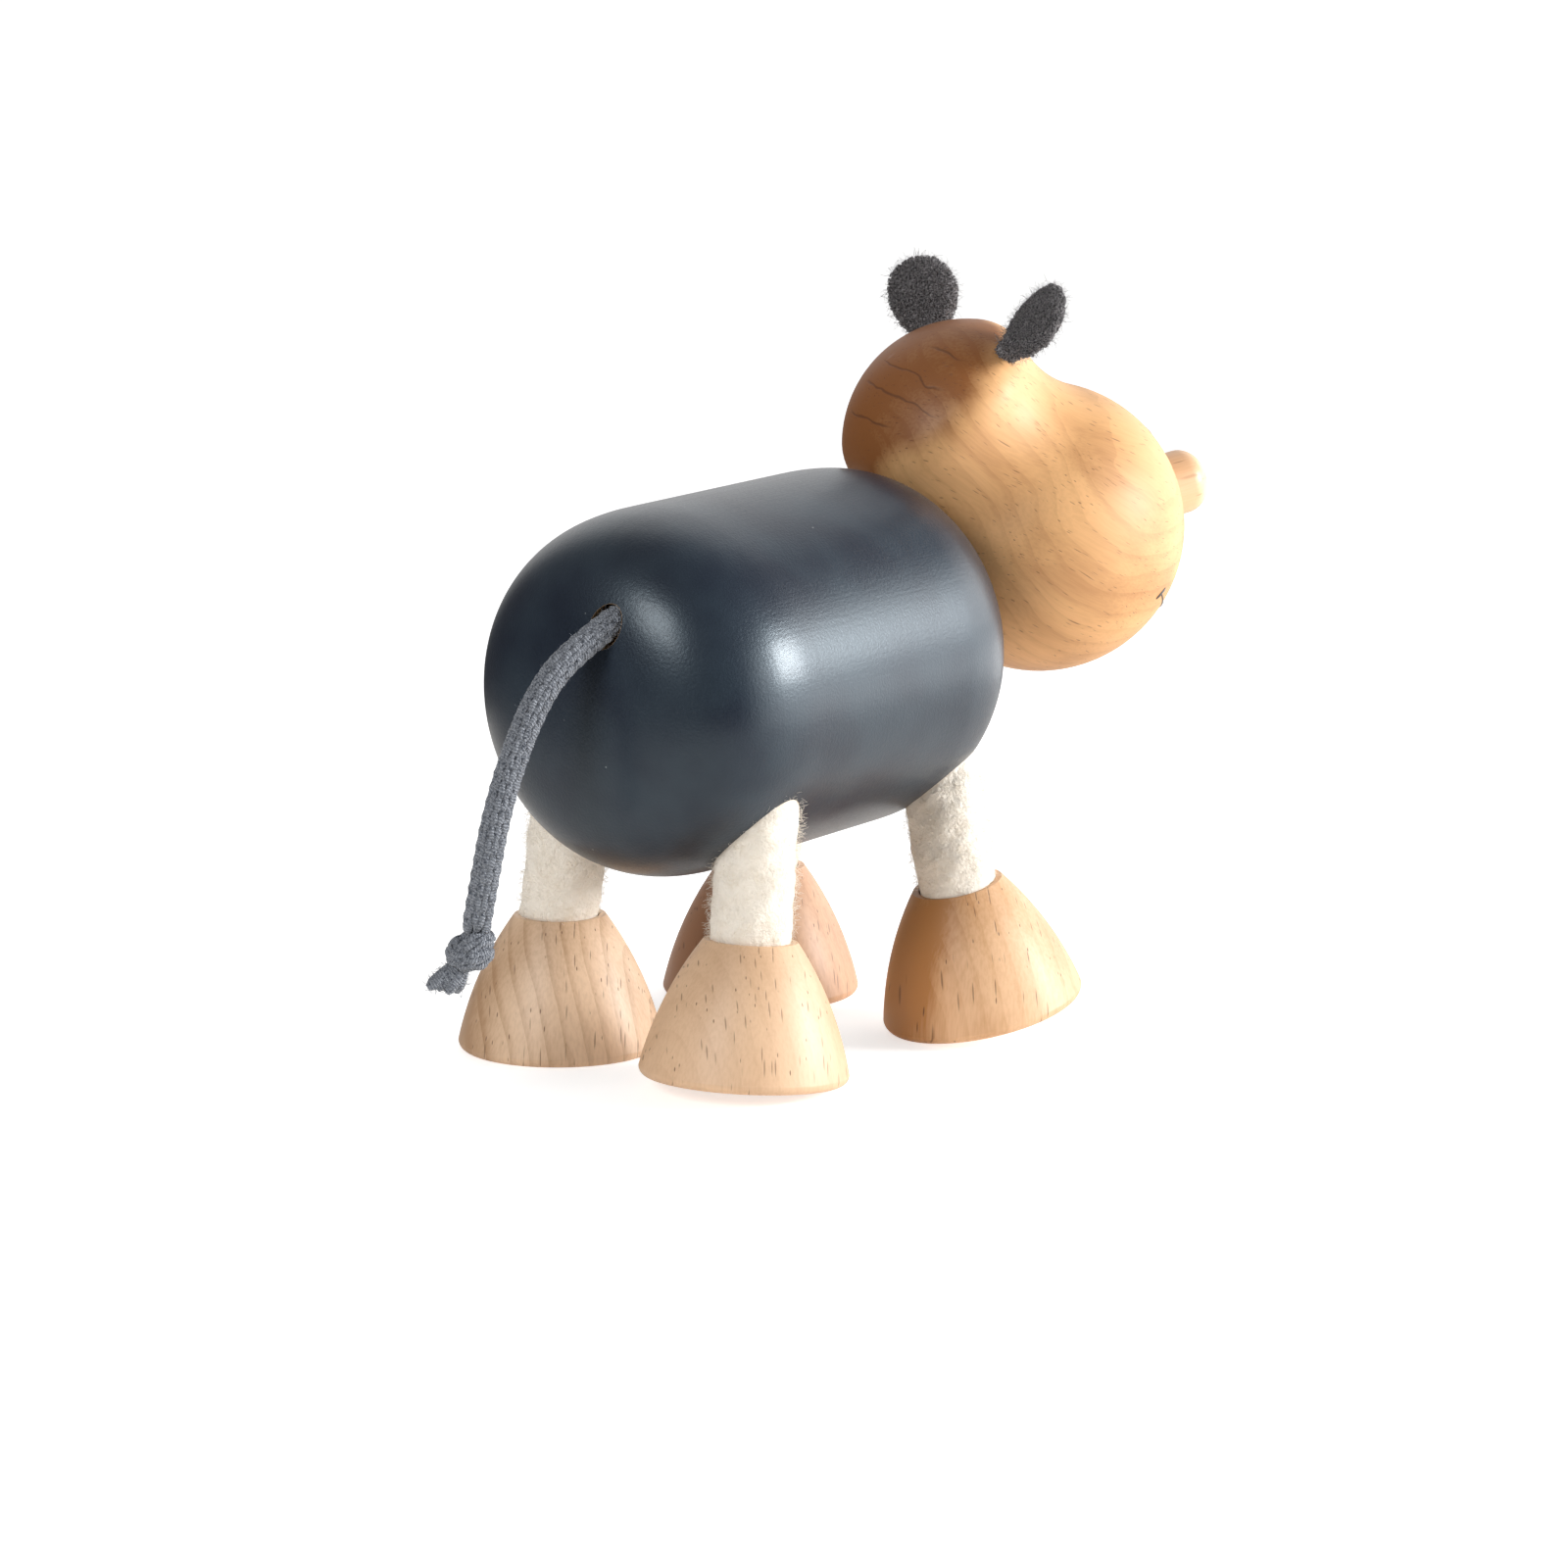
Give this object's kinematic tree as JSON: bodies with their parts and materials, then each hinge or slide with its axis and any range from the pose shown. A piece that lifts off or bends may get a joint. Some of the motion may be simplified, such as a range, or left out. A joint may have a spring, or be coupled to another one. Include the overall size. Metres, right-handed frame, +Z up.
{
  "type": "posable wooden animal toy",
  "caption": "Posable wooden toy rhinoceros with a turned barrel body, peanut-shaped head, peg horn, cord tail and dome feet on bendable felt-covered legs.",
  "frame": {"origin": "on the ground, under the middle of the toy's bounding box without the tail", "axes": "+X forward along the barrel, +Y to the animal's left, +Z up"},
  "size_m": [0.131, 0.0614, 0.0941],
  "materials": {
    "barrel_paint": "satin slate blue-grey paint over turned beech",
    "head_wood": "satin clear lacquer on honey-coloured beech",
    "foot_wood": "satin clear lacquer on pale beech",
    "felt": "undyed wool felt, fuzzy",
    "fleece": "charcoal fleece with a short pile",
    "cord": "heather grey braided cotton",
    "wire": "plain annealed wire"
  },
  "bodies": {
    "barrel": {"barrel": "barrel_paint"},
    "neck": {"neck_wire": "wire"},
    "head": {"head": "head_wood", "horn": "head_wood"},
    "ear_left": {"ear_left": "fleece"},
    "ear_right": {"ear_right": "fleece"},
    "tail": {"tail_cord": "cord", "tail_knot": "cord", "tail_end": "cord"},
    "thigh_rear_left": {"leg_wire_rear_left": "wire"},
    "shin_rear_left": {"leg_sleeve_rear_left": "felt"},
    "foot_rear_left": {"foot_rear_left": "foot_wood"},
    "thigh_rear_right": {"leg_wire_rear_right": "wire"},
    "shin_rear_right": {"leg_sleeve_rear_right": "felt"},
    "foot_rear_right": {"foot_rear_right": "foot_wood"},
    "thigh_front_left": {"leg_wire_front_left": "wire"},
    "shin_front_left": {"leg_sleeve_front_left": "felt"},
    "foot_front_left": {"foot_front_left": "foot_wood"},
    "thigh_front_right": {"leg_wire_front_right": "wire"},
    "shin_front_right": {"leg_sleeve_front_right": "felt"},
    "foot_front_right": {"foot_front_right": "foot_wood"}
  },
  "joints": [
    {"name": "neck_turn", "type": "hinge", "parent": "barrel", "child": "neck", "pos_m": [0.0127, 0.0022, 0.0604], "axis": [0, 0, 1], "range_deg": [-4, 40], "deforming": ["neck_wire"]},
    {"name": "neck_nod", "type": "hinge", "parent": "neck", "child": "head", "pos_m": [0.0127, 0.0022, 0.0604], "axis": [0.4384, 0.8988, 0], "range_deg": [-4, 12]},
    {"name": "ear_left_flex", "type": "hinge", "parent": "head", "child": "ear_left", "pos_m": [0.02613, 0.00737, 0.08349], "axis": [-0.3654, 0.8902, -0.2722], "range_deg": [-25, 25], "stiffness_Nm_per_rad": 0.002, "deforming": ["ear_left"]},
    {"name": "ear_right_flex", "type": "hinge", "parent": "head", "child": "ear_right", "pos_m": [0.01771, -0.00989, 0.08349], "axis": [0.5618, 0.6672, 0.489], "range_deg": [-25, 25], "stiffness_Nm_per_rad": 0.002, "deforming": ["ear_right"]},
    {"name": "hip_swing_rear_left", "type": "hinge", "parent": "barrel", "child": "thigh_rear_left", "pos_m": [-0.0382, 0.0154, 0.03], "axis": [0, 1, 0], "range_deg": [-16, 16], "deforming": ["leg_wire_rear_left"]},
    {"name": "leg_splay_rear_left", "type": "hinge", "parent": "thigh_rear_left", "child": "shin_rear_left", "pos_m": [-0.0376, 0.0168, 0.0234], "axis": [1, 0, 0], "range_deg": [-3, 12], "deforming": ["leg_sleeve_rear_left"]},
    {"name": "ankle_pitch_rear_left", "type": "hinge", "parent": "shin_rear_left", "child": "foot_rear_left", "pos_m": [-0.037, 0.0182, 0.0168], "axis": [0, 1, 0], "range_deg": [-16, 16]},
    {"name": "hip_swing_rear_right", "type": "hinge", "parent": "barrel", "child": "thigh_rear_right", "pos_m": [-0.038, -0.0134, 0.03], "axis": [0, 1, 0], "range_deg": [-16, 16], "deforming": ["leg_wire_rear_right"]},
    {"name": "leg_splay_rear_right", "type": "hinge", "parent": "thigh_rear_right", "child": "shin_rear_right", "pos_m": [-0.03842, -0.0133, 0.02388], "axis": [-1, 0, 0], "range_deg": [-3, 12], "deforming": ["leg_sleeve_rear_right"]},
    {"name": "ankle_pitch_rear_right", "type": "hinge", "parent": "shin_rear_right", "child": "foot_rear_right", "pos_m": [-0.03884, -0.0132, 0.01775], "axis": [0, 1, 0], "range_deg": [-16, 16]},
    {"name": "hip_swing_front_left", "type": "hinge", "parent": "barrel", "child": "thigh_front_left", "pos_m": [0.001, 0.0154, 0.03], "axis": [0, 1, 0], "range_deg": [-16, 16], "deforming": ["leg_wire_front_left"]},
    {"name": "leg_splay_front_left", "type": "hinge", "parent": "thigh_front_left", "child": "shin_front_left", "pos_m": [0.0021, 0.0167, 0.0234], "axis": [1, 0, 0], "range_deg": [-3, 12], "deforming": ["leg_sleeve_front_left"]},
    {"name": "ankle_pitch_front_left", "type": "hinge", "parent": "shin_front_left", "child": "foot_front_left", "pos_m": [0.0032, 0.018, 0.0168], "axis": [0, 1, 0], "range_deg": [-16, 16]},
    {"name": "hip_swing_front_right", "type": "hinge", "parent": "barrel", "child": "thigh_front_right", "pos_m": [0.001, -0.0127, 0.03], "axis": [0, 1, 0], "range_deg": [-16, 16], "deforming": ["leg_wire_front_right"]},
    {"name": "leg_splay_front_right", "type": "hinge", "parent": "thigh_front_right", "child": "shin_front_right", "pos_m": [0.0001, -0.01449, 0.02453], "axis": [-1, 0, 0], "range_deg": [-3, 12], "deforming": ["leg_sleeve_front_right"]},
    {"name": "ankle_pitch_front_right", "type": "hinge", "parent": "shin_front_right", "child": "foot_front_right", "pos_m": [-0.00079, -0.01628, 0.01906], "axis": [0, 1, 0], "range_deg": [-16, 16]},
    {"name": "tail_swing", "type": "hinge", "parent": "barrel", "child": "tail", "pos_m": [-0.0537, -0.003, 0.0564], "axis": [0, 1, 0], "range_deg": [-10, 40], "stiffness_Nm_per_rad": 0.002, "deforming": ["tail_cord"]}
  ]
}
